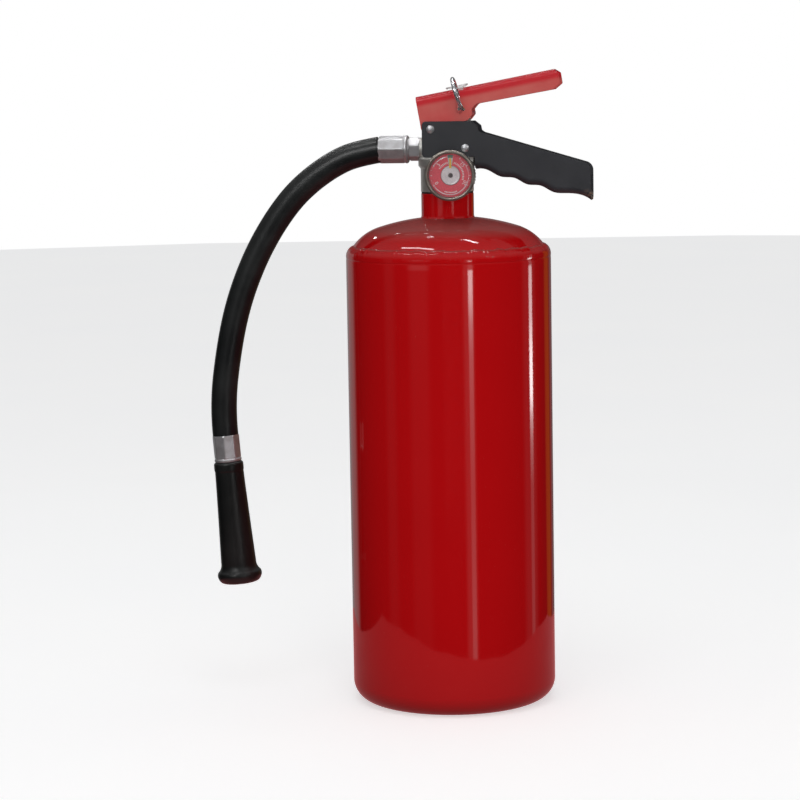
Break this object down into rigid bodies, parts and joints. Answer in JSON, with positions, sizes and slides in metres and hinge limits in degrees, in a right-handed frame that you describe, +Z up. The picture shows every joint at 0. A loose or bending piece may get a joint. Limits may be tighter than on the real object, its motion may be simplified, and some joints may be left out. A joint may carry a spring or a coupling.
{
  "type": "fire extinguisher",
  "caption": "Upright dry powder fire extinguisher with a squeeze lever over a fixed carry handle, safety pin, pressure gauge and a curved hose ending in a nozzle.",
  "frame": {"origin": "middle of the base on the shell's axis", "axes": "+Z up along the shell, +X along the carry handle, -Y out of the gauge's face"},
  "size_m": [0.3062, 0.1602, 0.4942],
  "materials": {
    "red_paint": "gloss",
    "lever_paint": "semi-gloss",
    "black_paint": "satin powder coat",
    "powder": "fine powder",
    "white_plastic": "matt",
    "brass": "turned",
    "bronze": "drawn",
    "valve_metal": "die-cast, satin",
    "fitting_metal": "crimped, zinc plated",
    "gauge_steel": "satin",
    "rivet_steel": "polished",
    "pin_steel": "plated wire",
    "spring_steel": "drawn",
    "hub_metal": "spun",
    "black_rubber": "matt",
    "hose_rubber": "satin",
    "nozzle_plastic": "satin",
    "dial_face": "printed",
    "needle_paint": "painted",
    "clear_lens": "clear",
    "clear_plastic": "clear tie"
  },
  "bodies": {
    "root": {"shell": "red_paint", "top_dome": "red_paint", "shoulder_weld": "red_paint", "neck_collar": "red_paint", "powder_charge": "powder", "dip_tube": "white_plastic", "dip_tube_adapter": "brass", "valve_body": "valve_metal", "neck_o_ring": "black_rubber", "stem_gland": "brass", "carry_handle": "black_paint", "pivot_rivet": "rivet_steel", "handle_rivet": "rivet_steel", "gauge_case": "gauge_steel", "gauge_seal": "black_rubber", "bourdon_coil": "bronze", "gauge_dial": "dial_face", "gauge_lens": "clear_lens", "gauge_bezel": "gauge_steel", "outlet_nut": "fitting_metal", "hose_washer": "black_rubber", "hose_insert": "fitting_metal", "hose_ferrule": "fitting_metal", "hose": "hose_rubber", "nozzle_ferrule": "fitting_metal", "nozzle_insert": "fitting_metal", "nozzle": "nozzle_plastic"},
    "lever": {"squeeze_lever": "lever_paint"},
    "stem": {"valve_stem": "brass", "stem_seal": "black_rubber", "valve_spring": "spring_steel"},
    "pin": {"safety_pin": "pin_steel", "tamper_seal": "clear_plastic"},
    "needle": {"gauge_needle": "needle_paint", "gauge_hub": "hub_metal"}
  },
  "joints": [
    {"name": "lever_squeeze", "type": "hinge", "parent": "root", "child": "lever", "pos_m": [-0.0109, 0, 0.4495], "axis": [0, 1, 0], "range_deg": [0, 13], "stiffness_Nm_per_rad": 1.6, "springref_deg": -5.16},
    {"name": "stem_push", "type": "slide", "parent": "root", "child": "stem", "axis": [0, 0, -1], "range_m": [0, 0.0033], "deforming": ["valve_spring"]},
    {"name": "pin_pull", "type": "slide", "parent": "lever", "child": "pin", "axis": [0, -1, 0], "range_m": [0, 0.045]},
    {"name": "needle_turn", "type": "hinge", "parent": "root", "child": "needle", "pos_m": [0.0088, -0.044, 0.415], "axis": [0, 1, 0], "range_deg": [-120, 75], "stiffness_Nm_per_rad": 0.002}
  ],
  "couplings": [
    {"joint": "stem_push", "follows": "lever_squeeze", "m_per_rad": 0.0137}
  ]
}
